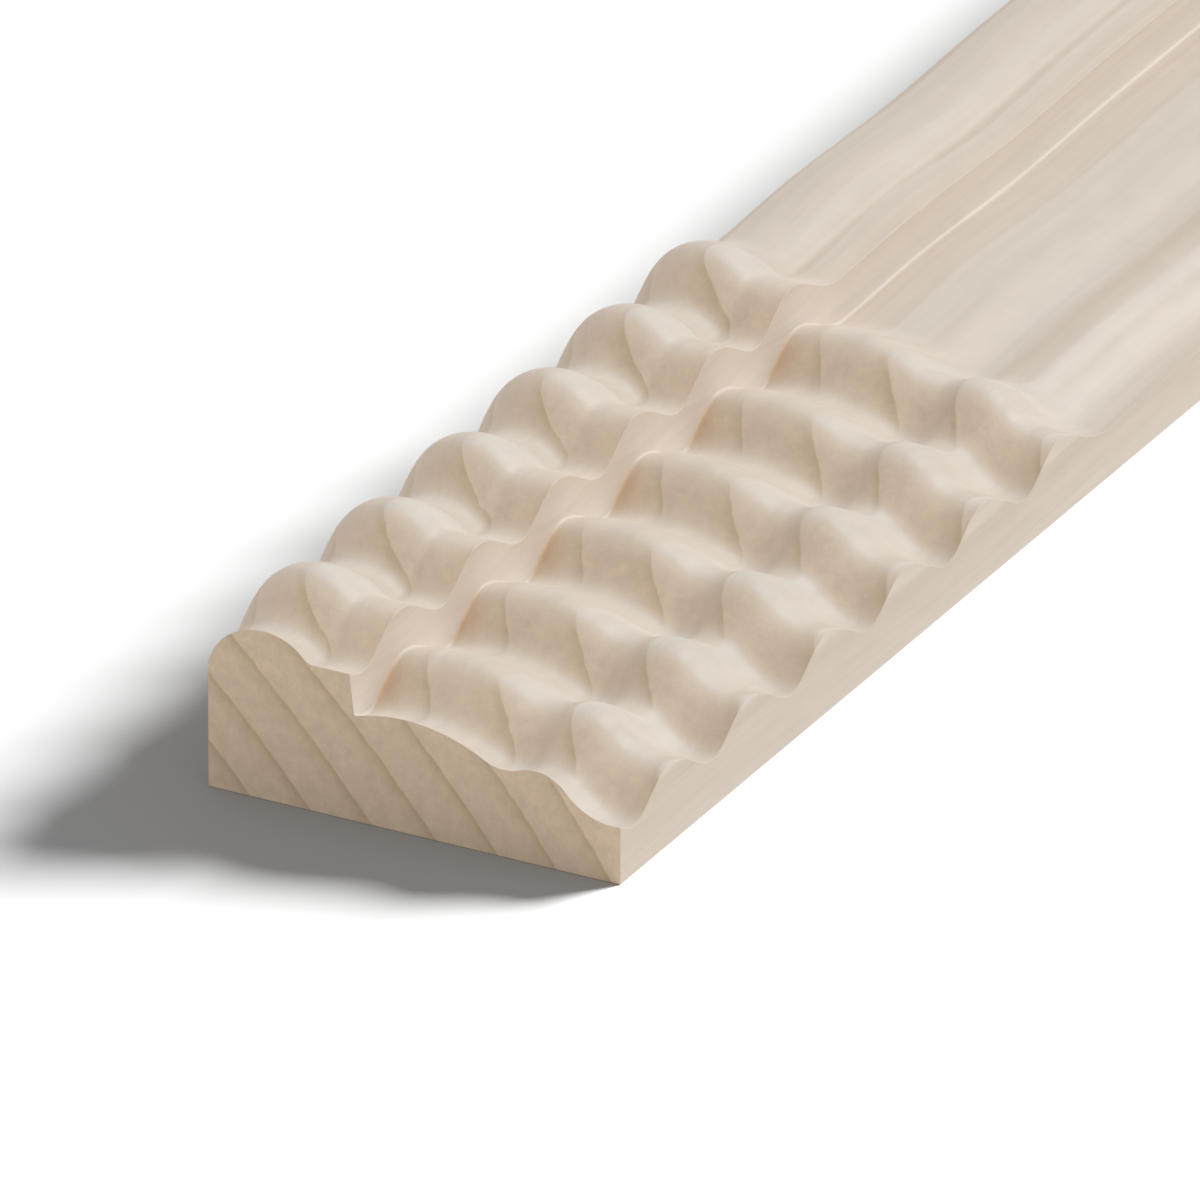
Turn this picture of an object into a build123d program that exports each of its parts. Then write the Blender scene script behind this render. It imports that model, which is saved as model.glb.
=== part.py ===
from build123d import *
import os
from math import sqrt

# Ripple moulding: one length of planed timber whose face is worked to a section of two beads,
# a step and a broad crown. The whole face section rises and falls in ripples over the first
# few centimetres and then runs on nearly plain to the far end.
# Length lies along X with the rippled end at -X, the tall edge is at +Y, and the origin is
# at the middle of the flat underside.

# Timber
LENGTH = 1000.0
WIDTH = 44.0

# The section is given as it stands in the plain run. Places are measured from the tall edge.
# Main bead on the tall edge, with the flat fillet beside it
BEAD_RADIUS = 6.0
BEAD_CENTRE = 5.85
BEAD_TOP = 17.02
FILLET_HEIGHT = 14.68
FILLET_EDGE = 15.1

# Step down from the fillet to the crown
STEP_DRAFT = 0.5
STEP_FOOT_RADIUS = 0.4

# Crown, valley, small bead and cove, in their order towards the low edge
CROWN_CENTRE = 21.0
CROWN_RADIUS = 17.5
CROWN_TOP = 11.24
VALLEY_RADIUS = 4.4
VALLEY_FLOOR = 8.52
SMALL_BEAD_RADIUS = 4.4
SMALL_BEAD_TOP = 9.16
COVE_RADIUS = 6.6
COVE_FLOOR = 5.33

# Ripples: the face section lifted above the plain run, with a steep front and a long back
RIPPLE_COUNT = 6
RIPPLE_PITCH = 15.7
RIPPLE_CREST = 3.05
RIPPLE_TROUGH = -0.15
RIPPLE_BACK = 9.6
BACK_MIDDLE = 4.6
FRONT_MIDDLE = 2.6
FIRST_CREST = 9.7

# Slow swell in which the ripples die out, its places measured from the last trough
SWELL_TOP_PLACE = 14.0
SWELL_TOP = 0.2
SWELL_DIP_PLACE = 35.0
SWELL_DIP = -0.35
SWELL_END_PLACE = 56.0

# How far the cutter reaches past the stock
OVERRUN = 12.0


def next_centre(centre, radius, next_radius, next_height):
    """Centre of a round that bends the other way and touches the one before."""
    reach = sqrt((radius + next_radius) ** 2 - (next_height - centre[1]) ** 2)
    return (centre[0] + reach, next_height)


def touching_point(centre, radius, next_point, next_radius):
    """Where two rounds that bend opposite ways touch."""
    share = radius / (radius + next_radius)
    return tuple(a + share * (b - a) for a, b in zip(centre, next_point))


def above(centre, radius):
    """Highest point of a round."""
    return (centre[0], centre[1] + radius)


def below(centre, radius):
    """Lowest point of a round."""
    return (centre[0], centre[1] - radius)


def ripple_back(crest_place):
    """Points from a crest down the long back of its ripple into the trough."""
    middle = (RIPPLE_CREST + RIPPLE_TROUGH) / 2
    return [
        (crest_place, RIPPLE_CREST),
        (crest_place + BACK_MIDDLE, middle),
        (crest_place + RIPPLE_BACK, RIPPLE_TROUGH),
    ]


def ripple_front(crest_place):
    """Points up the steep front of the next ripple, from the trough to its crest."""
    middle = (RIPPLE_CREST + RIPPLE_TROUGH) / 2
    return [
        (crest_place + RIPPLE_BACK + FRONT_MIDDLE, middle),
        (crest_place + RIPPLE_PITCH, RIPPLE_CREST),
    ]


# Centres of the rounds, as place and height above the underside
bead = (BEAD_CENTRE, BEAD_TOP - BEAD_RADIUS)
crown = (CROWN_CENTRE, CROWN_TOP - CROWN_RADIUS)
valley = next_centre(crown, CROWN_RADIUS, VALLEY_RADIUS, VALLEY_FLOOR + VALLEY_RADIUS)
small_bead = next_centre(valley, VALLEY_RADIUS, SMALL_BEAD_RADIUS, SMALL_BEAD_TOP - SMALL_BEAD_RADIUS)
cove = next_centre(small_bead, SMALL_BEAD_RADIUS, COVE_RADIUS, COVE_FLOOR + COVE_RADIUS)

# Points where the section changes from one form to the next
bead_start = (bead[0] - BEAD_RADIUS, bead[1])
bead_end = (bead[0] + sqrt(BEAD_RADIUS**2 - (FILLET_HEIGHT - bead[1]) ** 2), FILLET_HEIGHT)
fillet_edge = (FILLET_EDGE, FILLET_HEIGHT)
step_foot_place = FILLET_EDGE + STEP_DRAFT
crown_start = (step_foot_place, crown[1] + sqrt(CROWN_RADIUS**2 - (crown[0] - step_foot_place) ** 2))
crown_end = touching_point(crown, CROWN_RADIUS, valley, VALLEY_RADIUS)
small_bead_start = touching_point(valley, VALLEY_RADIUS, small_bead, SMALL_BEAD_RADIUS)
cove_start = touching_point(small_bead, SMALL_BEAD_RADIUS, cove, COVE_RADIUS)

# Rise and fall of the section along the length, one list for each pass of the cutter:
# whole ripples from the crest that the cut end has lost, the back of the last ripple,
# the swell, and the plain run
crests = [FIRST_CREST + count * RIPPLE_PITCH for count in range(-1, RIPPLE_COUNT)]
last_trough = crests[-1] + RIPPLE_BACK
swell_end = (last_trough + SWELL_END_PLACE, 0)
passes = [ripple_back(crest) + ripple_front(crest) for crest in crests[:-1]]
passes.append(ripple_back(crests[-1]))
passes.append(
    [
        (last_trough, RIPPLE_TROUGH),
        (last_trough + SWELL_TOP_PLACE, SWELL_TOP),
        (last_trough + SWELL_DIP_PLACE, SWELL_DIP),
        swell_end,
    ]
)
passes.append([swell_end, (LENGTH + OVERRUN, 0)])

# Height of the timber before its face is worked
stock_height = BEAD_TOP + RIPPLE_CREST + OVERRUN / 2

# The section is drawn across the rippled end, and the ripples along the tall edge
section_plane = Plane(origin=(-LENGTH / 2, WIDTH / 2, 0), x_dir=(0, -1, 0), z_dir=(-1, 0, 0))
wave_plane = Plane(
    origin=section_plane.from_local_coords((*bead_start, 0)),
    x_dir=(1, 0, 0),
    z_dir=(0, -1, 0),
)
level = (1, 0)

with BuildPart() as moulding:
    with BuildSketch(Plane.YZ.offset(-LENGTH / 2)):
        Rectangle(WIDTH, stock_height, align=(Align.CENTER, Align.MIN))
    extrude(amount=LENGTH)
    with BuildLine(section_plane) as section:
        ThreePointArc(bead_start, above(bead, BEAD_RADIUS), bead_end)
        Line(bead_end, fillet_edge)
        Line(fillet_edge, crown_start)
        ThreePointArc(crown_start, above(crown, CROWN_RADIUS), crown_end)
        ThreePointArc(crown_end, below(valley, VALLEY_RADIUS), small_bead_start)
        ThreePointArc(small_bead_start, above(small_bead, SMALL_BEAD_RADIUS), cove_start)
        RadiusArc(cove_start, below(cove, COVE_RADIUS), -COVE_RADIUS)
        Line(below(cove, COVE_RADIUS), (WIDTH + OVERRUN, COVE_FLOOR))
        step_foot = section_plane.from_local_coords((*crown_start, 0))
        fillet(section.vertices().sort_by_distance(step_foot)[0], radius=STEP_FOOT_RADIUS)
    for points in passes:
        with BuildSketch(wave_plane):
            with BuildLine():
                start, end = points[0], points[-1]
                Spline(*points, tangents=(level, level))
                Polyline(end, (end[0], stock_height), (start[0], stock_height), start)
            make_face()
        sweep(path=section.wires()[0], normal=(0, 1, 0), mode=Mode.SUBTRACT)

moulding.part.label = "moulding"
os.makedirs("parts", exist_ok=True)
export_step(moulding.part, "parts/moulding.step")
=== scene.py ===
"""Ripple moulding: a length of planed softwood, ripples at one end, on a plain pale floor."""

from math import atan2, cos, hypot, radians, sin, sqrt

import bmesh
import bpy
import numpy as np
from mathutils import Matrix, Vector


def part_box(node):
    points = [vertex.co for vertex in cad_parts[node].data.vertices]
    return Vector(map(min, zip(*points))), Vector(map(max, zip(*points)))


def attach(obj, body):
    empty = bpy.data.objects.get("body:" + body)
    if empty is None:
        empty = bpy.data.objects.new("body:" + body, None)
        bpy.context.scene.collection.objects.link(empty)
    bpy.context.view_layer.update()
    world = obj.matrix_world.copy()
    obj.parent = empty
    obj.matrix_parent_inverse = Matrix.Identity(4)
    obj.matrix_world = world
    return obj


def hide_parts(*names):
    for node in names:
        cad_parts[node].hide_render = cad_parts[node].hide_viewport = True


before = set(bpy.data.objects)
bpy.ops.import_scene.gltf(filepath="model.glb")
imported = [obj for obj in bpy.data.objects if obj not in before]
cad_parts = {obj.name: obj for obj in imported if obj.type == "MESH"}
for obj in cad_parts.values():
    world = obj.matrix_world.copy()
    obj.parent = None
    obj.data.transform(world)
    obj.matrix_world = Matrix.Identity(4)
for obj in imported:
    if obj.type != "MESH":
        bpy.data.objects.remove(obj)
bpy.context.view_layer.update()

bl_info = {
    "name": "Ripple Moulding",
    "version": (1, 0, 0),
    "blender": (4, 5, 0),
    "location": "View3D > Sidebar > Moulding",
    "description": "Makes a length of ripple moulding in planed softwood, and a stage to show it",
    "category": "Object",
}

MM = 0.001
PIECE_NAME = "ripple_moulding"

# Mesh: fewest facets of a round, and the angle from which an edge is shown sharp
FEWEST_FACETS = 4
SHARP_EDGE = radians(30)

# Camera: nearest and farthest distance drawn, as shares of its distance from its aim
NEAREST_DRAWN = 0.1
FARTHEST_DRAWN = 4.0

# Ramps of the wood, as stops of place and value. A place in the season runs from 0 at the
# start of a year's ring to 1 at its end. A place across runs from 0 at the tall edge to 1
# at the low edge.
SEASON_ON_FACE = ((0.0, 0.5), (0.035, 0.05), (0.35, 0.35), (0.62, 0.5), (0.93, 1.0), (0.97, 1.0), (1.0, 0.5))
SEASON_ON_END = ((0.0, 0.0), (0.6, 0.08), (0.84, 0.4), (0.95, 0.9), (0.985, 1.0), (1.0, 0.0))
BLUSH_PATCHES = ((0.42, 0.0), (0.72, 0.6))
WARM_ACROSS = ((0.21, 0.0), (0.30, 1.0), (0.344, 0.8), (0.352, 0.0), (0.39, 0.4), (0.48, 0.0))
# Painted shade: where the fronts are browner, in the corner at the step's foot
PAINTED_SHADE_AT_STEP = ((0.348, 0.0), (0.357, 1.0), (0.415, 0.0))
# Painted light and shade in strips across the face: darker on the flanks of both beads that turn to the low
# edge, where the key falls most, and lighter beside the step
PAINTED_LIGHT_AND_SHADE_ACROSS = (
    (0.16, 0.42), (0.21, 0.0), (0.26, 0.42), (0.33, 1.0), (0.45, 1.0), (0.49, 0.42),
    (0.79, 0.42), (0.85, 0.0), (0.92, 0.42),
)

# How fast the lines in the rings change along the timber, per millimetre
LINE_CHANGE = 0.015

# What a face's turn to the low edge adds to its lean to the rippled end; this extra is painted shade,
# darkening fronts that also turn to the low edge
LOW_EDGE_SHADE_SHARE = 0.6

# Ramps on the way that a face points: to the tall edge (painted warm shade), up a ripple's front (fibre
# ends, partly painted shade), or out of an end
WARM_SHADE_TO_TALL_EDGE = ((0.05, 0.0), (0.5, 1.0))
FIBRE_ENDS_AND_SHADE_ON_FRONT = ((0.12, 0.0), (0.35, 0.32), (0.6, 0.82), (0.75, 0.9))
NEAR_END = ((0.8, 0.0), (0.98, 1.0))
FAR_END = ((0.7, 0.0), (0.98, 1.0))
CAD_LOW, CAD_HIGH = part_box("moulding")
STOCK_LENGTH = CAD_HIGH.x - CAD_LOW.x
STOCK_WIDTH = CAD_HIGH.y - CAD_LOW.y


def distance(name, millimetres, description):
    """A size in metres, whose default is given in millimetres."""
    return bpy.props.FloatProperty(
        name=name, description=description, default=millimetres * MM,
        unit="LENGTH", subtype="DISTANCE", precision=5,
    )


def colour(name, red, green, blue, description):
    """A wood or stage colour, as scene-linear red, green and blue."""
    return bpy.props.FloatVectorProperty(
        name=name, description=description, default=(red, green, blue),
        size=3, min=0.0, max=1.0, subtype="COLOR",
    )


def share(name, value, description):
    """A plain factor."""
    return bpy.props.FloatProperty(
        name=name, description=description, default=value, min=0.0, max=1.0, subtype="FACTOR",
    )


def power(name, value, description):
    """The strength of a lamp or of the sky."""
    return bpy.props.FloatProperty(name=name, description=description, default=value, min=0.0)


def angle(name, degrees, description):
    """An angle in radians, whose default is given in degrees."""
    return bpy.props.FloatProperty(
        name=name, description=description, default=radians(degrees), unit="ROTATION", subtype="ANGLE",
    )


class SectionSizes(bpy.types.PropertyGroup):
    """The face section as it stands in the plain run. Places are measured from the tall edge."""

    length: distance("Length", STOCK_LENGTH / MM, "Length of the timber")
    width: distance("Width", STOCK_WIDTH / MM, "Width of the timber")
    bead_radius: distance("Bead radius", 6.0, "Round of the main bead")
    bead_centre: distance("Bead centre", 5.85, "Place of the main bead's centre")
    bead_top: distance("Bead top", 17.02, "Height of the main bead")
    fillet_height: distance("Fillet height", 14.68, "Height of the flat fillet beside the main bead")
    bead_foot_radius: distance("Bead foot radius", 1.5, "Round in the corner of main bead and fillet")
    fillet_edge: distance("Fillet edge", 15.1, "Place where the fillet ends at the step")
    step_draft: distance("Step draft", 0.5, "How far the step leans out on its way down")
    step_foot_radius: distance("Step foot radius", 0.28, "Round in the inner corner of the step")
    crown_centre: distance("Crown centre", 21.0, "Place of the crown's centre")
    crown_radius: distance("Crown radius", 17.5, "Round of the broad crown")
    crown_top: distance("Crown top", 11.24, "Height of the crown")
    valley_radius: distance("Valley radius", 4.4, "Round of the valley beside the crown")
    valley_floor: distance("Valley floor", 8.52, "Height of the valley's lowest line")
    small_bead_radius: distance("Small bead radius", 4.4, "Round of the small bead")
    small_bead_top: distance("Small bead top", 9.16, "Height of the small bead")
    cove_radius: distance("Cove radius", 6.6, "Round of the cove on the low edge")
    cove_floor: distance("Cove floor", 5.33, "Height of the cove's lowest line")
    arris: distance("Arris", 0.03, "Width of the eased long edges")
    end_arris: distance("End arris", 0.04, "Width of the eased edges round both cut ends")
    facet: distance("Facet", 0.33, "Length of one facet of the section's rounds")


class RippleSizes(bpy.types.PropertyGroup):
    """The rise and fall of the face section along the length. Places are measured from the cut end."""

    count: bpy.props.IntProperty(name="Count", description="Number of ripples", default=6, min=1, max=40)
    pitch: distance("Pitch", 15.7, "Distance from crest to crest")
    crest: distance("Crest", 3.05, "Lift of the section at a crest")
    trough: distance("Trough", -0.15, "Lift of the section in a trough")
    back: distance("Back", 9.6, "Distance from a crest to the trough behind it")
    back_middle: distance("Back middle", 4.6, "Distance from a crest to half height on its back")
    front_middle: distance("Front middle", 2.6, "Distance from a trough to half height on the next front")
    first_crest: distance("First crest", 9.7, "Place of the first whole crest")
    swell_top_place: distance("Swell top place", 14.0, "Distance from the last trough to the swell's top")
    swell_top: distance("Swell top", 0.2, "Lift at the swell's top")
    swell_dip_place: distance("Swell dip place", 35.0, "Distance from the last trough to the swell's dip")
    swell_dip: distance("Swell dip", -0.35, "Lift in the swell's dip")
    swell_end_place: distance("Swell end place", 56.0, "Distance from the last trough to the swell's end")
    ripple_station: distance("Ripple station", 0.4, "Distance between loops of the mesh in the ripples")
    swell_station: distance("Swell station", 1.0, "Distance between loops of the mesh in the swell")
    plain_station: distance("Plain station", 30.0, "Distance between loops of the mesh in the plain run")


class SoftwoodLooks(bpy.types.PropertyGroup):
    """Colours of the planed softwood and the size of its growth rings."""

    pith_y: distance("Pith Y", 144.0, "Place of the growth rings' middle across the timber")
    pith_z: distance("Pith Z", -116.0, "Place of the growth rings' middle in height")
    ring_start: distance("Ring start", 171.82, "Radius of one ring line, from which the others are counted")
    ring_pitch: distance("Ring pitch", 4.97, "Width of one growth ring")
    ring_wander: distance("Ring wander", 0.9, "How far a ring line strays along the timber")
    ring_wobble: distance("Ring wobble", 0.25, "How far a ring line wobbles over a few centimetres")
    early: colour("Early wood", 0.688, 0.618, 0.548, "Pale wood at the start of a ring")
    middle: colour("Middle wood", 0.655, 0.566, 0.484, "Wood in the middle of a ring")
    late: colour("Late wood", 0.632, 0.541, 0.454, "Darker wood at the end of a ring")
    blush: colour("Blush", 0.668, 0.560, 0.468, "Faint warm tint that comes and goes in long patches")
    end_early: colour("End grain early wood", 0.712, 0.571, 0.434, "Pale part of a ring on a cut end")
    end_late: colour("End grain late wood", 0.558, 0.428, 0.289, "Dark line of a ring on a cut end")
    # Warm strip beside the step, and painted warm shade on faces turned to the tall edge
    warm_strip_and_shade_tint: colour("Warm tint", 1.000, 0.976, 0.953, "Tint beside the step and on faces to the tall edge")
    # Partly painted shade: the colour of the fibre ends on the fronts, which are turned from the key light
    front_grain_and_shade_tint: colour("Steep tint", 1.000, 0.975, 0.945, "Tint of the fibre ends on the ripples' fronts")
    # Painted shade: the browner tint of the fronts in the corner at the step
    step_shade_tint: colour("Pocket tint", 0.985, 0.840, 0.655, "Tint of the fronts where they meet the step")
    band_tone: share("Band tone", 0.20, "Difference in tone between broad bands in the rings")
    fine_tone: share("Fine tone", 0.03, "Least difference in tone between fine lines in the rings")
    fine_luck: share("Fine luck", 0.10, "What a ring by its luck can add to the fine tone")
    streak_tone: share("Streak tone", 0.08, "Difference in tone between streaks along the timber")
    blotch_tone: share("Blotch tone", 0.08, "Difference in tone between blotches of a few millimetres")
    hair_tone: share("Hair tone", 0.04, "Difference in tone between hair-thin lines")
    cloud_tone: share("Cloud tone", 0.34, "Difference in tone between clouds on a cut end")
    speck_tone: share("Speck tone", 0.08, "Difference in tone between specks on a cut end")
    # Painted light and shade: the darkest and lightest strips across the face
    painted_light_and_shade_start: share("Lightness start", 0.95, "Tone of the darkest strips across the face")
    painted_light_and_shade_range: share("Lightness range", 0.12, "What the lightest strips across the face gain")
    roughness: share("Roughness", 0.54, "Roughness of the planed and sanded face")
    roughness_range: share("Roughness range", 0.12, "Difference in roughness between streaks")
    refraction: bpy.props.FloatProperty(
        name="Refraction", description="Index of refraction of the sanded surface", default=1.45, min=1.0,
    )
    grain_strength: share("Grain strength", 0.35, "How strongly the grain lines catch the light")
    grain_depth: distance("Grain depth", 0.02, "Depth of the fine grain lines")


class StageSettings(bpy.types.PropertyGroup):
    """Floor, lamps and camera."""

    floor_size: distance("Floor size", 4000.0, "Side of the square floor")
    floor_gap: distance("Floor gap", 0.02, "Gap between the floor and the underside")
    floor_shown: colour("Floor shown", 0.38, 0.38, 0.38, "Floor colour that the camera sees")
    floor_thrown: colour("Floor thrown", 0.282, 0.270, 0.252, "Floor colour in the light it throws back")
    camera_azimuth: angle("Camera azimuth", -61.768, "Turn round the moulding; 0 looks along +Y")
    camera_elevation: angle("Camera elevation", 26.323, "Height of the camera above the horizon")
    camera_distance: distance("Camera distance", 5034.8, "Distance from the camera to its aim")
    lens: bpy.props.FloatProperty(
        name="Lens", description="Focal length in millimetres", default=1600.0, min=1.0, subtype="NONE",
    )
    aim: bpy.props.FloatVectorProperty(
        name="Aim", description="Point that the camera looks at", size=3,
        default=(-0.465567, -0.001362, 0.010), subtype="XYZ", unit="LENGTH",
    )
    key_power: power("Key power", 2.04, "Strength of the key lamp")
    fill_power: power("Fill power", 0.55, "Strength of the fill lamp")
    floor_power: power("Floor power", 19.3, "Strength of the lamp that lights the floor alone")
    sky_power: power("Sky power", 0.56, "Strength of the even light all round")
    key_tint: colour("Key tint", 0.93, 0.98, 1.0, "Colour of the key light")
    fill_tint: colour("Fill tint", 1.0, 0.91, 0.76, "Colour of the fill light")
    key_azimuth: angle("Key azimuth", 58.8, "Direction that the key light comes from")
    key_elevation: angle("Key elevation", 40.0, "Height of the key light")
    key_spread: angle("Key spread", 26.0, "Softness of the key light")
    fill_azimuth: angle("Fill azimuth", 236.0, "Direction that the fill light comes from")
    fill_elevation: angle("Fill elevation", 12.0, "Height of the fill light")
    fill_spread: angle("Fill spread", 60.0, "Softness of the fill light")
    floor_azimuth: angle("Floor lamp azimuth", 57.3, "Direction that the floor's light comes from")
    floor_elevation: angle("Floor lamp elevation", 26.3, "Height of the floor's light")
    floor_spread: angle("Floor lamp spread", 24.0, "Softness of the floor's light")


# Drawing the section


class EndOutline:
    """The outline of a cut end, drawn as a wire from point to point round the section."""

    def __init__(self, mesh, sizes, place, height):
        self.mesh = mesh
        self.sizes = sizes
        self.start = mesh.verts.new(self.point(place, height))
        self.tip = self.start

    def point(self, place, height):
        """A point of the cut end from its place, measured from the tall edge, and its height."""
        return Vector((-self.sizes.length / 2, self.sizes.width / 2 - place, height))

    def line(self, place, height):
        """A straight run to a new point."""
        grown = bmesh.ops.extrude_vert_indiv(self.mesh, verts=[self.tip])
        step = self.point(place, height) - self.tip.co
        self.tip = grown["verts"][0]
        bmesh.ops.translate(self.mesh, verts=[self.tip], vec=step)
        return self.tip

    def arc(self, centre, end):
        """A round about a centre to a new point."""
        middle = self.point(*centre)
        spoke = self.tip.co - middle
        last = self.point(*end) - middle
        turn = atan2(spoke.y * last.z - spoke.z * last.y, spoke.y * last.y + spoke.z * last.z)
        steps = max(FEWEST_FACETS, round(abs(turn) * spoke.length / self.sizes.facet))
        swept = bmesh.ops.spin(
            self.mesh, geom=[self.tip], cent=middle, axis=(1, 0, 0), angle=turn, steps=steps,
            use_merge=False, use_normal_flip=False, use_duplicate=False,
        )
        self.tip = [item for item in swept["geom_last"] if isinstance(item, bmesh.types.BMVert)][0]
        return self.tip

    def close(self):
        """The last straight run, back to the first point."""
        self.mesh.edges.new((self.tip, self.start))


def next_centre(centre, radius, next_radius, next_height):
    """Centre of a round that bends the other way and touches the one before."""
    reach = sqrt((radius + next_radius) ** 2 - (next_height - centre[1]) ** 2)
    return (centre[0] + reach, next_height)


def touching_point(centre, radius, next_point, next_radius):
    """Where two rounds that bend opposite ways touch."""
    part = radius / (radius + next_radius)
    return tuple(a + part * (b - a) for a, b in zip(centre, next_point))


def step_foot(sizes, crown, edge, foot):
    """Centre and both ends of the small round between the step and the crown."""
    run = (foot[0] - edge[0], foot[1] - edge[1])
    span = hypot(*run)
    along = (run[0] / span, run[1] / span)
    outward = (-along[1], along[0])
    radius = sizes.step_foot_radius
    base = (edge[0] + outward[0] * radius, edge[1] + outward[1] * radius)
    to_crown = (crown[0] - base[0], crown[1] - base[1])
    near = to_crown[0] * along[0] + to_crown[1] * along[1]
    aside = to_crown[0] * outward[0] + to_crown[1] * outward[1]
    travel = near - sqrt((sizes.crown_radius + radius) ** 2 - aside**2)
    centre = (base[0] + along[0] * travel, base[1] + along[1] * travel)
    start = (edge[0] + along[0] * travel, edge[1] + along[1] * travel)
    end = touching_point(centre, radius, crown, sizes.crown_radius)
    return centre, start, end


def draw_section(mesh, sizes):
    """Draws the whole section as a closed wire at the rippled end, with its long edges eased."""
    bead = (sizes.bead_centre, sizes.bead_top - sizes.bead_radius)
    crown = (sizes.crown_centre, sizes.crown_top - sizes.crown_radius)
    valley = next_centre(
        crown, sizes.crown_radius, sizes.valley_radius, sizes.valley_floor + sizes.valley_radius
    )
    small_bead = next_centre(
        valley, sizes.valley_radius, sizes.small_bead_radius, sizes.small_bead_top - sizes.small_bead_radius
    )
    cove = next_centre(
        small_bead, sizes.small_bead_radius, sizes.cove_radius, sizes.cove_floor + sizes.cove_radius
    )
    bead_foot = next_centre(
        bead, sizes.bead_radius, sizes.bead_foot_radius, sizes.fillet_height + sizes.bead_foot_radius
    )
    fillet_edge = (sizes.fillet_edge, sizes.fillet_height)
    foot_place = sizes.fillet_edge + sizes.step_draft
    foot = (foot_place, crown[1] + sqrt(sizes.crown_radius**2 - (crown[0] - foot_place) ** 2))
    foot_centre, foot_start, foot_end = step_foot(sizes, crown, fillet_edge, foot)

    outline = EndOutline(mesh, sizes, 0.0, 0.0)
    outline.line(0.0, bead[1] + sqrt(sizes.bead_radius**2 - sizes.bead_centre**2))
    outline.arc(bead, touching_point(bead, sizes.bead_radius, bead_foot, sizes.bead_foot_radius))
    outline.arc(bead_foot, (bead_foot[0], sizes.fillet_height))
    step_top = outline.line(*fillet_edge)
    outline.line(*foot_start)
    outline.arc(foot_centre, foot_end)
    outline.arc(crown, touching_point(crown, sizes.crown_radius, valley, sizes.valley_radius))
    outline.arc(valley, touching_point(valley, sizes.valley_radius, small_bead, sizes.small_bead_radius))
    outline.arc(small_bead, touching_point(small_bead, sizes.small_bead_radius, cove, sizes.cove_radius))
    outline.arc(cove, (cove[0], sizes.cove_floor))
    low_top = outline.line(sizes.width, sizes.cove_floor)
    low_base = outline.line(sizes.width, 0.0)
    outline.close()
    bmesh.ops.bevel(
        mesh, geom=[outline.start, step_top, low_top, low_base], offset=sizes.arris,
        offset_type="OFFSET", affect="VERTICES", segments=1, profile=0.5, material=-1,
    )


# Ripples


def level_line(places, heights):
    """A smooth line through points, level at both ends. Gives a function from place to height."""
    x = np.array(places, float)
    z = np.array(heights, float)
    gap = np.diff(x)
    rise = np.diff(z) / gap
    system = np.eye(len(x))
    wanted = np.zeros(len(x))
    for i in range(1, len(x) - 1):
        before, after = 1 / gap[i - 1], 1 / gap[i]
        system[i, i - 1 : i + 2] = before, 2 * (before + after), after
        wanted[i] = 3 * (rise[i - 1] * before + rise[i] * after)
    slope = np.linalg.solve(system, wanted)

    def height(place):
        i = int(np.clip(np.searchsorted(x, place) - 1, 0, len(gap) - 1))
        t = (place - x[i]) / gap[i]
        return (
            z[i] * (1 + 2 * t) * (1 - t) ** 2 + z[i + 1] * t * t * (3 - 2 * t)
            + gap[i] * t * (1 - t) * (slope[i] * (1 - t) - slope[i + 1] * t)
        )

    return height


class Wave:
    """Lift of the face section at a place along the length, measured from the rippled end."""

    def __init__(self, ripples):
        half = (ripples.crest + ripples.trough) / 2
        self.pitch = ripples.pitch
        self.lost_crest = ripples.first_crest - ripples.pitch
        self.last_crest = ripples.first_crest + (ripples.count - 1) * ripples.pitch
        self.last_trough = self.last_crest + ripples.back
        self.swell_end = self.last_trough + ripples.swell_end_place
        back_places = [0.0, ripples.back_middle, ripples.back]
        front_places = [ripples.back + ripples.front_middle, ripples.pitch]
        back_heights = [ripples.crest, half, ripples.trough]
        self.ripple = level_line(back_places + front_places, back_heights + [half, ripples.crest])
        self.last_back = level_line(back_places, back_heights)
        self.swell = level_line(
            [0.0, ripples.swell_top_place, ripples.swell_dip_place, ripples.swell_end_place],
            [ripples.trough, ripples.swell_top, ripples.swell_dip, 0.0],
        )

    def lift(self, place):
        """Height that the face section gains at this place."""
        if place < self.last_crest:
            return float(self.ripple((place - self.lost_crest) % self.pitch))
        if place < self.last_trough:
            return float(self.last_back(place - self.last_crest))
        if place < self.swell_end:
            return float(self.swell(place - self.last_trough))
        return 0.0


def draw_out(mesh, ring, reach, station):
    """Draws the section on by a reach, with a loop of the mesh at each station. Gives its new end."""
    grown = bmesh.ops.extrude_edge_only(mesh, edges=ring)["geom"]
    ends = [item for item in grown if isinstance(item, bmesh.types.BMVert)]
    new_ring = [item for item in grown if isinstance(item, bmesh.types.BMEdge)]
    new_ring = [edge for edge in new_ring if all(vert in ends for vert in edge.verts)]
    bmesh.ops.translate(mesh, verts=ends, vec=(reach, 0, 0))
    along = [edge for vert in ends for edge in vert.link_edges if edge not in new_ring]
    cuts = max(0, round(reach / station) - 1)
    if cuts:
        bmesh.ops.subdivide_edges(mesh, edges=along, cuts=cuts, use_grid_fill=False)
    return new_ring


def close_ends(mesh, rings, arris):
    """Closes both open ends with one flat face each and eases their edges."""
    caps = [bmesh.ops.edgeloop_fill(mesh, edges=ring)["faces"][0] for ring in rings]
    bmesh.ops.recalc_face_normals(mesh, faces=mesh.faces)
    bmesh.ops.bevel(
        mesh, geom=[edge for cap in caps for edge in cap.edges], offset=arris, offset_type="OFFSET",
        affect="EDGES", segments=1, profile=0.5, material=-1,
    )


# Wood


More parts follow.
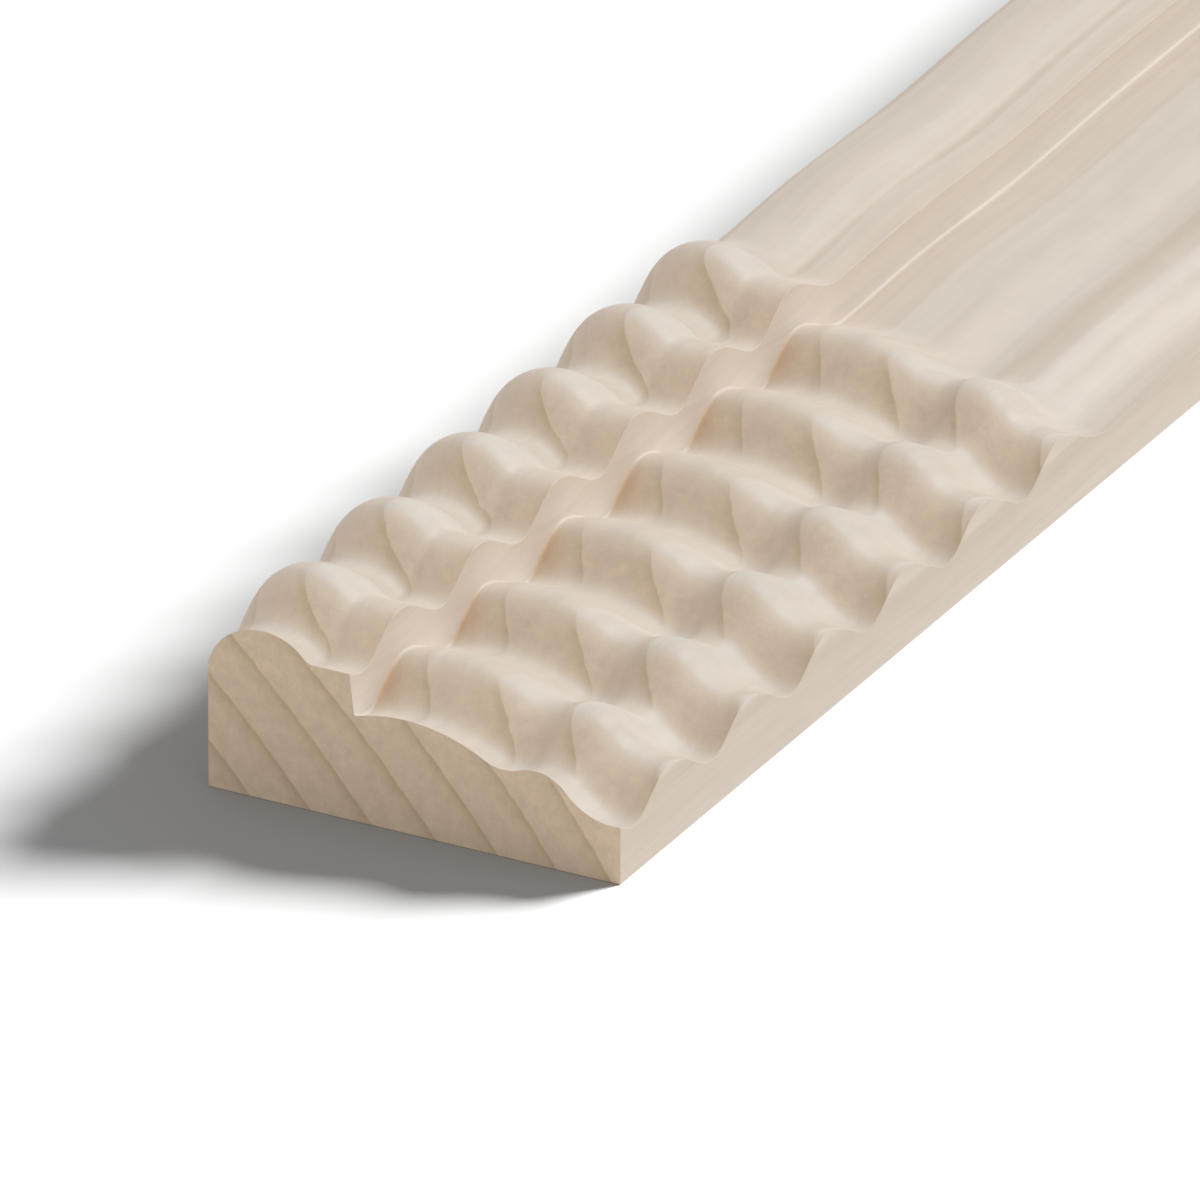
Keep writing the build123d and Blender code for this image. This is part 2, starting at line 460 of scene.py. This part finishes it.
class Recipe:
    """Shader nodes of one material, added one after the other."""

    def __init__(self, name):
        self.material = bpy.data.materials.new(name)
        self.material.use_nodes = True
        self.tree = self.material.node_tree
        self.tree.nodes.clear()

    def node(self, kind, inputs=None, **settings):
        """Adds a node. Inputs take a value, or another node's output to link."""
        made = self.tree.nodes.new(kind)
        for name, value in settings.items():
            setattr(made, name, value)
        for key, value in (inputs or {}).items():
            if isinstance(value, bpy.types.NodeSocket):
                self.tree.links.new(value, made.inputs[key])
            else:
                made.inputs[key].default_value = value
        return made

    def calc(self, operation, *values):
        """The result of a sum with up to three numbers."""
        inputs = dict(enumerate(values))
        return self.node("ShaderNodeMath", inputs, operation=operation).outputs[0]

    def swing(self, noise, reach, middle=0.0):
        """Noise between 0 and 1, spread over a reach about a middle."""
        return self.calc("MULTIPLY_ADD", noise, reach, middle - reach / 2)

    def blend(self, factor, first, second, kind="MIX"):
        """A mix of two colours."""
        made = self.node("ShaderNodeMix", data_type="RGBA", blend_type=kind, clamp_factor=True)
        for socket, value in zip((made.inputs[0], made.inputs[6], made.inputs[7]), (factor, first, second)):
            if isinstance(value, bpy.types.NodeSocket):
                self.tree.links.new(value, socket)
            else:
                socket.default_value = value
        return made.outputs[2]

    def ramp(self, factor, stops):
        """A ramp from number to grey or colour, through stops of place and value."""
        made = self.node("ShaderNodeValToRGB", {"Fac": factor})
        elements = made.color_ramp.elements
        while len(elements) < len(stops):
            elements.new(0.5)
        for element, (place, value) in zip(elements, stops):
            element.position = place
            element.color = value if isinstance(value, tuple) else (value, value, value, 1.0)
        return made.outputs[0]

    def noise(self, point, scale, detail=2.0, roughness=0.5):
        """Even noise between 0 and 1."""
        made = self.node(
            "ShaderNodeTexNoise",
            {"Vector": point, "Scale": scale, "Detail": detail, "Roughness": roughness},
            noise_dimensions="3D",
        )
        return made.outputs[0]

    def long_noise(self, point, along, across, detail, roughness=0.5):
        """Noise drawn out along the timber, from its spots per millimetre along and across."""
        stretched = self.node(
            "ShaderNodeVectorMath", {0: point, 1: (along, across, across)}, operation="MULTIPLY"
        ).outputs[0]
        return self.noise(stretched, 1.0, detail, roughness)


def opaque(tint):
    """A colour with its alpha."""
    return (tint[0], tint[1], tint[2], 1.0)


def growth_rings(wood, looks, point):
    """Distance from the pith with its wander, and the season and luck of the ring there."""
    parts = wood.node("ShaderNodeSeparateXYZ", {0: point})
    side = wood.calc("SUBTRACT", parts.outputs[1], looks.pith_y / MM)
    up = wood.calc("SUBTRACT", parts.outputs[2], looks.pith_z / MM)
    square = wood.calc("ADD", wood.calc("MULTIPLY", side, side), wood.calc("MULTIPLY", up, up))
    drift = wood.long_noise(point, along=0.016, across=0.03, detail=1.0)
    waver = wood.long_noise(point, along=0.05, across=0.5, detail=2.0)
    wander = wood.swing(drift, 2 * looks.ring_wander / MM)
    wobble = wood.swing(waver, 2 * looks.ring_wobble / MM)
    strayed = wood.calc("ADD", wood.calc("ADD", wood.calc("SQRT", square), wander), wobble)
    ring = wood.calc(
        "DIVIDE", wood.calc("SUBTRACT", strayed, looks.ring_start / MM), looks.ring_pitch / MM
    )
    season = wood.calc("FRACT", ring)
    luck = wood.node(
        "ShaderNodeTexWhiteNoise", {"W": wood.calc("FLOOR", ring)}, noise_dimensions="1D"
    ).outputs[0]
    return strayed, season, luck


def ring_lines(wood, looks, point, strayed, luck):
    """Tone of the broad bands and fine lines that follow the growth rings along the timber."""
    parts = wood.node("ShaderNodeSeparateXYZ", {0: point})
    along = wood.calc("MULTIPLY", parts.outputs[0], LINE_CHANGE)
    layers = wood.node("ShaderNodeCombineXYZ", {0: along, 1: strayed}).outputs[0]
    band = wood.noise(layers, scale=0.8, detail=3.0, roughness=0.55)
    fine = wood.noise(layers, scale=4.0, detail=2.0, roughness=0.6)
    depth = wood.calc("MULTIPLY_ADD", luck, looks.fine_luck, looks.fine_tone)
    lines = wood.calc("MULTIPLY", wood.calc("SUBTRACT", fine, 0.5), depth)
    return wood.calc("ADD", wood.swing(band, looks.band_tone, middle=1.0), lines)


def face_colour(wood, looks, season, luck, patches):
    """Colour of the worked face from its growth rings and long warm patches."""
    # By its luck, a ring shows from half to all of its contrast about the middle tone
    age = wood.ramp(season, SEASON_ON_FACE)
    strength = wood.calc("MULTIPLY_ADD", luck, 0.5, 0.5)
    tone = wood.calc("MULTIPLY_ADD", wood.calc("SUBTRACT", age, 0.5), strength, 0.5)
    stops = ((0.0, opaque(looks.early)), (0.5, opaque(looks.middle)), (1.0, opaque(looks.late)))
    return wood.blend(wood.ramp(patches, BLUSH_PATCHES), wood.ramp(tone, stops), opaque(looks.blush))


def end_colour(wood, looks, point, season):
    """Colour of the cut ends: ring lines and a cloudy, speckled ground."""
    lines = wood.ramp(season, SEASON_ON_END)
    end = wood.blend(lines, opaque(looks.end_early), opaque(looks.end_late))
    cloud = wood.noise(point, scale=0.75, detail=3.0, roughness=0.6)
    speck = wood.noise(point, scale=3.0, detail=2.0, roughness=0.7)
    mottle = wood.calc(
        "ADD", wood.swing(cloud, looks.cloud_tone, middle=1.0), wood.swing(speck, looks.speck_tone)
    )
    return wood.blend(1.0, end, mottle, "MULTIPLY")


def softwood(looks):
    """Planed softwood: growth rings cut by the face, fine streaks along the length, and end grain, with
    painted shade on the ripples' fronts and painted light and shade in strips across the face.
    """
    wood = Recipe("softwood_with_painted_light_and_shade")
    place = wood.node("ShaderNodeTexCoord")
    point = wood.node(
        "ShaderNodeVectorMath", {0: place.outputs["Object"], "Scale": 1 / MM}, operation="SCALE"
    ).outputs[0]
    parts = wood.node("ShaderNodeSeparateXYZ", {0: point})
    across = wood.calc(
        "DIVIDE", wood.calc("SUBTRACT", CAD_HIGH.y / MM, parts.outputs[1]), STOCK_WIDTH / MM
    )
    facing = wood.node("ShaderNodeSeparateXYZ", {0: place.outputs["Normal"]})
    strayed, season, luck = growth_rings(wood, looks, point)

    # Worked face: rings, then lines and streaks, then the warm strip beside the step
    patches = wood.long_noise(point, along=0.012, across=0.11, detail=2.0)
    streak = wood.long_noise(point, along=0.03, across=1.1, detail=3.0, roughness=0.6)
    blotch = wood.long_noise(point, along=0.25, across=0.5, detail=2.0)
    hair = wood.long_noise(point, along=0.07, across=7.0, detail=2.0)
    face = face_colour(wood, looks, season, luck, patches)
    streaks = ring_lines(wood, looks, point, strayed, luck)
    for noise, tone in ((streak, looks.streak_tone), (blotch, looks.blotch_tone), (hair, looks.hair_tone)):
        streaks = wood.calc("ADD", streaks, wood.swing(noise, tone))
    face = wood.blend(1.0, face, streaks, "MULTIPLY")
    # Worked face: rings, then lines and streaks, then the warm strip beside the step and painted warm shade
    # on faces turned to the tall edge
    warm_strip_and_shade = wood.calc(
        "MAXIMUM", wood.ramp(across, WARM_ACROSS), wood.ramp(facing.outputs[1], WARM_SHADE_TO_TALL_EDGE)
    )
    face = wood.blend(warm_strip_and_shade, face, wood.blend(1.0, face, opaque(looks.warm_strip_and_shade_tint), "MULTIPLY"))

    # Steep fronts show fibre ends: partly real end grain and partly painted shade, as only the fronts turned
    # from the key get them; painted shade makes them browner in the corner where they meet the step
    end = end_colour(wood, looks, point, season)
    front_grain_and_shade = wood.blend(1.0, end, opaque(looks.front_grain_and_shade_tint), "MULTIPLY")
    step_shade = wood.blend(1.0, front_grain_and_shade, opaque(looks.step_shade_tint), "MULTIPLY")
    front_grain_and_shade = wood.blend(wood.ramp(across, PAINTED_SHADE_AT_STEP), front_grain_and_shade, step_shade)

    # Lean of a face to the rippled end, more if it also leans to the low edge; the extra for the low edge is
    # painted shade
    turn = wood.calc("MULTIPLY_ADD", facing.outputs[1], LOW_EDGE_SHADE_SHARE, -1.0)
    lean = wood.calc("MULTIPLY", facing.outputs[0], turn)
    tint = wood.blend(wood.ramp(lean, FIBRE_ENDS_AND_SHADE_ON_FRONT), face, front_grain_and_shade)
    # Painted light and shade: strips darker where the key falls most and lighter beside the step
    painted_light_and_shade = wood.calc(
        "MULTIPLY_ADD", wood.ramp(across, PAINTED_LIGHT_AND_SHADE_ACROSS), looks.painted_light_and_shade_range, looks.painted_light_and_shade_start
    )
    tint = wood.blend(1.0, tint, painted_light_and_shade, "MULTIPLY")
    cut = wood.calc("MAXIMUM", wood.ramp(lean, NEAR_END), wood.ramp(facing.outputs[0], FAR_END))
    tint = wood.blend(cut, tint, end)

    shine = wood.swing(streak, looks.roughness_range, middle=looks.roughness)
    grain = wood.calc("ADD", hair, wood.calc("MULTIPLY", streak, 0.5))
    relief = wood.node(
        "ShaderNodeBump", {"Strength": looks.grain_strength, "Distance": looks.grain_depth, "Height": grain}
    ).outputs[0]
    shader = wood.node(
        "ShaderNodeBsdfPrincipled",
        {"Base Color": tint, "Roughness": shine, "IOR": looks.refraction, "Normal": relief},
    )
    wood.node("ShaderNodeOutputMaterial", {"Surface": shader.outputs[0]})
    return wood.material


# Stage


def new_object(name, mesh):
    """Puts a finished mesh into the scene."""
    data = bpy.data.meshes.new(name)
    mesh.to_mesh(data)
    mesh.free()
    made = bpy.data.objects.new(name, data)
    bpy.context.scene.collection.objects.link(made)
    return made


def direction(azimuth, elevation):
    """Direction from the moulding towards a camera or lamp; azimuth 0 looks along +Y."""
    return Vector((sin(azimuth) * cos(elevation), -cos(azimuth) * cos(elevation), sin(elevation)))


def sun(name, strength, azimuth, elevation, spread, tint=(1.0, 1.0, 1.0)):
    """A soft, even lamp from one direction."""
    data = bpy.data.lights.new(name, "SUN")
    data.energy = strength
    data.color = tint
    data.angle = spread
    lamp = bpy.data.objects.new(name, data)
    lamp.rotation_mode = "QUATERNION"
    lamp.rotation_quaternion = direction(azimuth, elevation).to_track_quat("Z", "Y")
    bpy.context.scene.collection.objects.link(lamp)
    return lamp


def light_only(shown, *lamps):
    """Keeps the light of these lamps to one object. Every object still casts its shadow in it."""
    group = bpy.data.collections.new("lit_" + shown.name)
    group.objects.link(shown)
    for lamp in lamps:
        lamp.light_linking.receiver_collection = group


def floor_paint(stage):
    """White floor that keeps the shadow, and throws less light back at the moulding than it shows."""
    paint = Recipe("floor_white")
    seen = paint.node("ShaderNodeLightPath").outputs["Is Camera Ray"]
    shown = paint.node("ShaderNodeBsdfDiffuse", {"Color": opaque(stage.floor_shown)})
    thrown = paint.node("ShaderNodeBsdfDiffuse", {"Color": opaque(stage.floor_thrown)})
    mix = paint.node("ShaderNodeMixShader", {0: seen, 1: thrown.outputs[0], 2: shown.outputs[0]})
    paint.node("ShaderNodeOutputMaterial", {"Surface": mix.outputs[0]})
    return paint.material


def even_sky(strength):
    """Even white light all round, and a white background for the camera."""
    world = bpy.data.worlds.new("even_sky")
    world.use_nodes = True
    tree = world.node_tree
    tree.nodes.clear()
    path = tree.nodes.new("ShaderNodeLightPath")
    level = tree.nodes.new("ShaderNodeMapRange")
    level.inputs["To Min"].default_value = strength
    level.inputs["To Max"].default_value = 1.0
    background = tree.nodes.new("ShaderNodeBackground")
    background.inputs["Color"].default_value = (1.0, 1.0, 1.0, 1.0)
    output = tree.nodes.new("ShaderNodeOutputWorld")
    tree.links.new(path.outputs["Is Camera Ray"], level.inputs["Value"])
    tree.links.new(level.outputs["Result"], background.inputs["Strength"])
    tree.links.new(background.outputs[0], output.inputs[0])
    bpy.context.scene.world = world


class MOULDING_OT_timber(bpy.types.Operator):
    """Make the length of moulding: section, ripples, cut ends and wood"""

    bl_idname = "moulding.timber"
    bl_label = "Moulding"
    bl_options = {"REGISTER", "UNDO"}

    def execute(self, context):
        sizes = context.scene.moulding_section
        ripples = context.scene.moulding_ripples
        wave = Wave(ripples)
        mesh = bmesh.new()
        draw_section(mesh, sizes)
        near_ring = list(mesh.edges)
        ring = draw_out(mesh, near_ring, wave.last_trough, ripples.ripple_station)
        ring = draw_out(mesh, ring, ripples.swell_end_place, ripples.swell_station)
        far_ring = draw_out(mesh, ring, sizes.length - wave.swell_end, ripples.plain_station)

        worked_from = sizes.cove_floor / 2
        for vert in mesh.verts:
            if vert.co.z > worked_from:
                vert.co.z += wave.lift(vert.co.x + sizes.length / 2)
        close_ends(mesh, (near_ring, far_ring), sizes.end_arris)

        for face in mesh.faces:
            face.smooth = True
        for edge in mesh.edges:
            edge.smooth = edge.calc_face_angle(0.0) < SHARP_EDGE
        piece = new_object(PIECE_NAME, mesh)
        piece.data.materials.append(softwood(context.scene.moulding_wood))
        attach(piece, "root")
        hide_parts("moulding")
        return {"FINISHED"}


class MOULDING_OT_stage(bpy.types.Operator):
    """Set out the floor, the lamps and the camera"""

    bl_idname = "moulding.stage"
    bl_label = "Stage"
    bl_options = {"REGISTER", "UNDO"}

    def execute(self, context):
        stage = context.scene.moulding_stage
        mesh = bmesh.new()
        bmesh.ops.create_grid(mesh, x_segments=1, y_segments=1, size=stage.floor_size / 2)
        bmesh.ops.translate(mesh, verts=mesh.verts, vec=(0, 0, -stage.floor_gap))
        floor = new_object("floor", mesh)
        floor.data.materials.append(floor_paint(stage))

        key = sun(
            "key_lamp", stage.key_power, stage.key_azimuth, stage.key_elevation,
            stage.key_spread, stage.key_tint,
        )
        fill = sun(
            "fill_lamp", stage.fill_power, stage.fill_azimuth, stage.fill_elevation,
            stage.fill_spread, stage.fill_tint,
        )
        low = sun(
            "floor_lamp", stage.floor_power, stage.floor_azimuth, stage.floor_elevation, stage.floor_spread
        )
        light_only(bpy.data.objects[PIECE_NAME], key, fill)
        light_only(floor, low)
        even_sky(stage.sky_power)

        data = bpy.data.cameras.new("camera")
        data.lens = stage.lens
        camera = bpy.data.objects.new("camera", data)
        back = direction(stage.camera_azimuth, stage.camera_elevation)
        camera.location = Vector(stage.aim) + back * stage.camera_distance
        camera.rotation_mode = "QUATERNION"
        camera.rotation_quaternion = (-back).to_track_quat("-Z", "Y")
        data.clip_start = stage.camera_distance * NEAREST_DRAWN
        data.clip_end = stage.camera_distance * FARTHEST_DRAWN
        context.scene.collection.objects.link(camera)
        context.scene.camera = camera
        context.scene.view_settings.view_transform = "Standard"
        return {"FINISHED"}


class MOULDING_PT_panel(bpy.types.Panel):
    """The moulding's operators and sizes"""

    bl_idname = "MOULDING_PT_panel"
    bl_label = "Ripple Moulding"
    bl_space_type = "VIEW_3D"
    bl_region_type = "UI"
    bl_category = "Moulding"

    def draw(self, context):
        layout = self.layout
        scene = context.scene
        layout.operator(MOULDING_OT_timber.bl_idname)
        layout.operator(MOULDING_OT_stage.bl_idname)
        for title, group in (
            ("Section", scene.moulding_section), ("Ripples", scene.moulding_ripples),
            ("Wood", scene.moulding_wood), ("Stage", scene.moulding_stage),
        ):
            box = layout.box()
            box.label(text=title)
            for name in group.__annotations__:
                box.prop(group, name)


GROUPS = {
    "moulding_section": SectionSizes,
    "moulding_ripples": RippleSizes,
    "moulding_wood": SoftwoodLooks,
    "moulding_stage": StageSettings,
}
CLASSES = (*GROUPS.values(), MOULDING_OT_timber, MOULDING_OT_stage, MOULDING_PT_panel)


def register():
    """Registers the classes and adds the settings to the scene."""
    for item in CLASSES:
        bpy.utils.register_class(item)
    for name, group in GROUPS.items():
        setattr(bpy.types.Scene, name, bpy.props.PointerProperty(type=group))


def unregister():
    """Takes the settings and classes away again."""
    for name in GROUPS:
        delattr(bpy.types.Scene, name)
    for item in reversed(CLASSES):
        bpy.utils.unregister_class(item)


def main():
    """Makes the moulding and its stage."""
    register()
    bpy.ops.moulding.timber()
    bpy.ops.moulding.stage()


if __name__ == "__main__":
    main()
